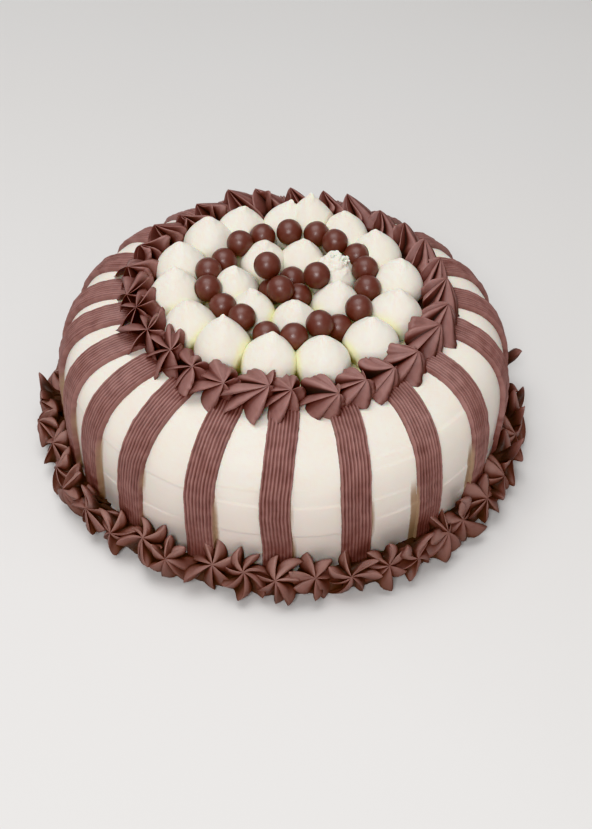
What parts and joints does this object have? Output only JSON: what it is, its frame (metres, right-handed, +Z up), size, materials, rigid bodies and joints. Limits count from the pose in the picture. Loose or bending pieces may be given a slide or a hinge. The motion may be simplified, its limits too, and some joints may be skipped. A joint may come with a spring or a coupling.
{
  "type": "chocolate dome cake",
  "caption": "Round ivory cream cake with a rounded shoulder, chocolate icing stripes, piped star borders at its foot and top, cream kisses and chocolate-coated balls.",
  "frame": {"origin": "centre of the cake's box, on the plane that it rests on", "axes": "+Z up through the middle of the cake; -Y is the front, which the picture shows; +X is to the right seen from the front"},
  "size_m": [0.248, 0.2482, 0.1048],
  "materials": {
    "ivory_cream": "satin",
    "chocolate_icing": "matte",
    "chocolate_coating": "satin"
  },
  "bodies": {
    "root": {"cake_body": "ivory_cream", "top_border": "chocolate_icing", "base_border": "chocolate_icing", "outer_kiss_01": "ivory_cream", "outer_kiss_02": "ivory_cream", "outer_kiss_03": "ivory_cream", "outer_kiss_04": "ivory_cream", "outer_kiss_05": "ivory_cream", "outer_kiss_06": "ivory_cream", "outer_kiss_07": "ivory_cream", "outer_kiss_08": "ivory_cream", "outer_kiss_09": "ivory_cream", "outer_kiss_10": "ivory_cream", "outer_kiss_11": "ivory_cream", "outer_kiss_12": "ivory_cream", "outer_kiss_13": "ivory_cream", "outer_kiss_14": "ivory_cream", "outer_kiss_15": "ivory_cream", "inner_kiss_01": "ivory_cream", "inner_kiss_02": "ivory_cream", "inner_kiss_03": "ivory_cream", "inner_kiss_04": "ivory_cream", "inner_kiss_05": "ivory_cream", "inner_kiss_06": "ivory_cream", "inner_kiss_07": "ivory_cream", "ball_01": "chocolate_coating", "ball_02": "chocolate_coating", "ball_03": "chocolate_coating", "ball_04": "chocolate_coating", "ball_05": "chocolate_coating", "ball_06": "chocolate_coating", "ball_07": "chocolate_coating", "ball_08": "chocolate_coating", "ball_09": "chocolate_coating", "ball_10": "chocolate_coating", "ball_11": "chocolate_coating", "ball_12": "chocolate_coating", "ball_13": "chocolate_coating", "ball_14": "chocolate_coating", "ball_15": "chocolate_coating", "ball_16": "chocolate_coating", "ball_17": "chocolate_coating", "ball_18": "chocolate_coating", "ball_19": "chocolate_coating", "ball_20": "chocolate_coating", "ball_21": "chocolate_coating", "ball_22": "chocolate_coating", "ball_23": "chocolate_coating", "ball_24": "chocolate_coating"}
  },
  "joints": []
}
